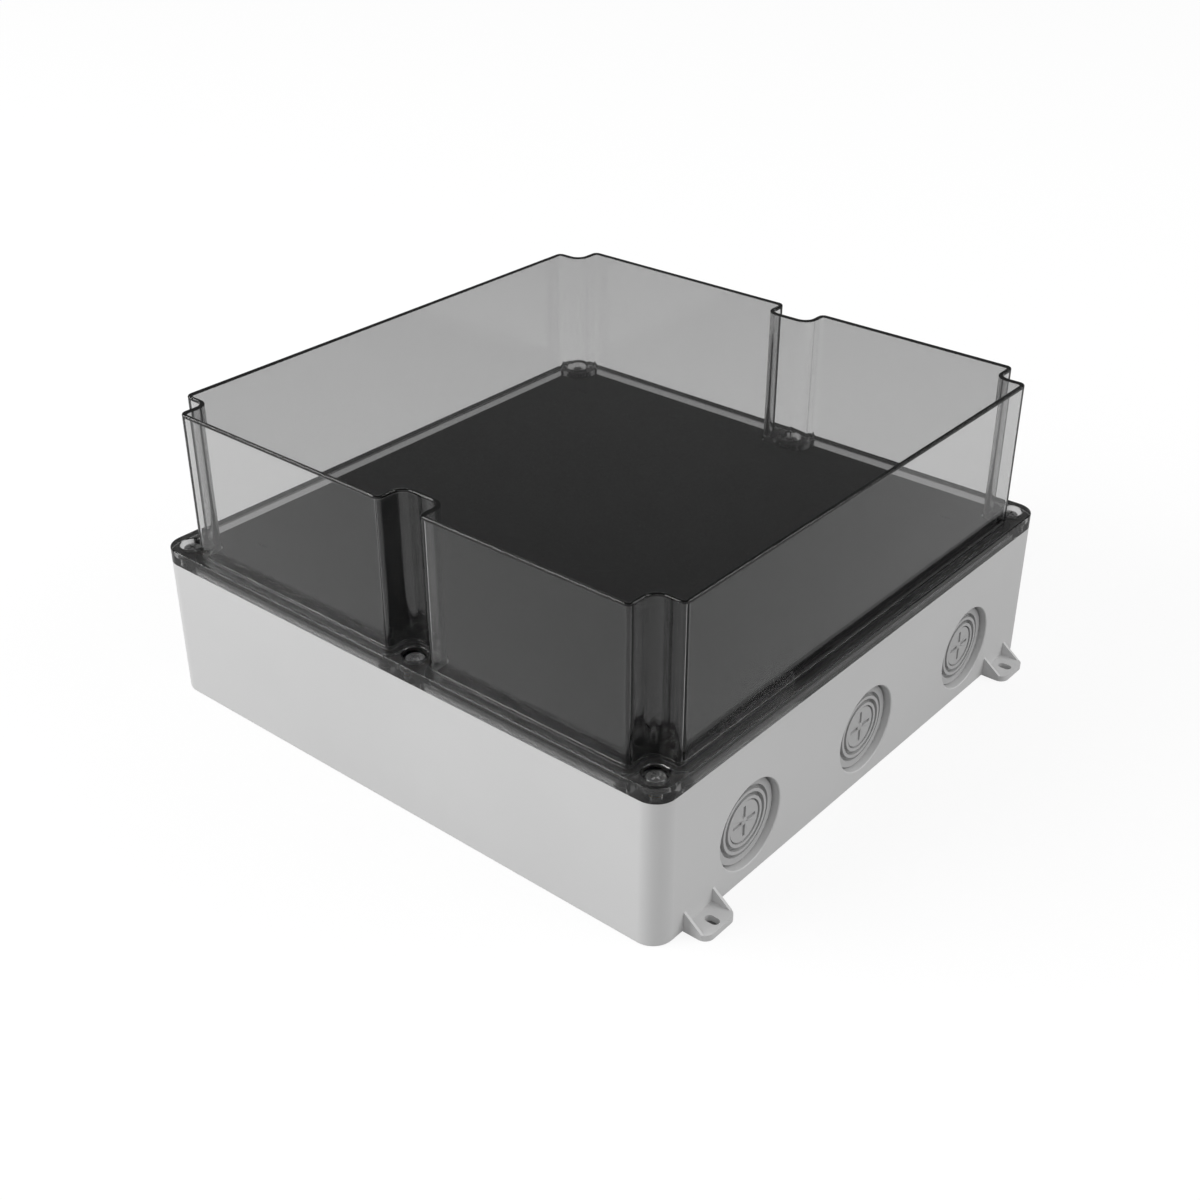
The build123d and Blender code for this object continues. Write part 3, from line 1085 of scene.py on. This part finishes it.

# A mirrored ray sees the paper dimmed, a little at the front left and more at the back right.
# This is a painted reflection, set by place on the paper.
is_glossy = rays.outputs["Is Glossy Ray"]
mirrored = arithmetic("SUBTRACT", is_glossy, rays.outputs["Is Transmission Ray"])
across = arithmetic("ADD", split.outputs["X"], split.outputs["Y"])
painted_dimming_fall = nodes.new("ShaderNodeMapRange")
set_range(painted_dimming_fall, -painted_dimming_reach, painted_dimming_reach, front_painted_dimming, back_painted_dimming)
links.new(across, painted_dimming_fall.inputs["Value"])
painted_reflection_dimming = arithmetic("MULTIPLY", arithmetic("MAXIMUM", mirrored, 0.0), painted_dimming_fall.outputs["Result"])
bright = arithmetic("SUBTRACT", glow_strength, painted_reflection_dimming)
links.new(arithmetic("MULTIPLY", bright, outside_painted_shadow), glow.inputs["Strength"])

links.new(matt.outputs["BSDF"], both.inputs[0])
links.new(glow.outputs["Emission"], both.inputs[1])
after_matt = arithmetic("MINIMUM", rays.outputs["Diffuse Depth"], 1.0)
links.new(after_matt, chooser.inputs["Fac"])
links.new(both.outputs["Shader"], chooser.inputs[1])
links.new(plain.outputs["BSDF"], chooser.inputs[2])
links.new(chooser.outputs["Shader"], nodes["Material Output"].inputs["Surface"])
floor.data.materials.append(paper)
print("Floor of", floor_size, "m")

# %% World
horizon_low = 0.02
horizon_high = 0.10
overhead = 0.14
ambient_level = 0.60
world = bpy.data.worlds.new("Studio")
bpy.context.scene.world = world
world.use_nodes = True
nodes, links = world.node_tree.nodes, world.node_tree.links
backdrop = nodes["Background"]
place = nodes.new("ShaderNodeTexCoord")
split = nodes.new("ShaderNodeSeparateXYZ")
fade = nodes.new("ShaderNodeMapRange")
set_range(fade, horizon_low, horizon_high, 1.0, overhead)
rays = nodes.new("ShaderNodeLightPath")
ambient = nodes.new("ShaderNodeMix")
ambient.data_type = "FLOAT"
ambient.inputs["B"].default_value = ambient_level
seen = nodes.new("ShaderNodeMath")
seen.operation = "MAXIMUM"
links.new(place.outputs["Generated"], split.inputs["Vector"])
links.new(split.outputs["Z"], fade.inputs["Value"])
links.new(fade.outputs["Result"], ambient.inputs["A"])
links.new(rays.outputs["Diffuse Depth"], ambient.inputs["Factor"])
links.new(ambient.outputs["Result"], seen.inputs[0])
links.new(rays.outputs["Is Camera Ray"], seen.inputs[1])
links.new(seen.outputs["Value"], backdrop.inputs["Strength"])
backdrop.inputs["Color"].default_value = (*grey(1), 1)
print("World:", ambient_level, "all round,", overhead, "overhead in reflections")

# %% Two soft lamps
lamp_size = 3.2
box_middle = Vector((0, 0, 0.08))


def softbox(name, place, energy):
    """A wide square area lamp that faces the middle of the box."""
    lamp_data = bpy.data.lights.new(name, "AREA")
    lamp_data.shape = "SQUARE"
    lamp_data.size = lamp_size
    lamp_data.energy = energy
    lamp = bpy.data.objects.new(name, lamp_data)
    lamp.location = place
    lamp.rotation_euler = (box_middle - lamp.location).to_track_quat("-Z", "Y").to_euler()
    bpy.context.scene.collection.objects.link(lamp)
    print(name, energy, "W")


softbox("Front_left_softbox", place=(-2.4, -3.0, 2.0), energy=151.0)
softbox("Right_softbox", place=(3.0, 1.6, 2.0), energy=60.0)

# %% [markdown]
# ## Finish
# The view transform is Standard, so colours come out as written.

# %% Set the view transform
bpy.context.scene.view_settings.view_transform = "Standard"
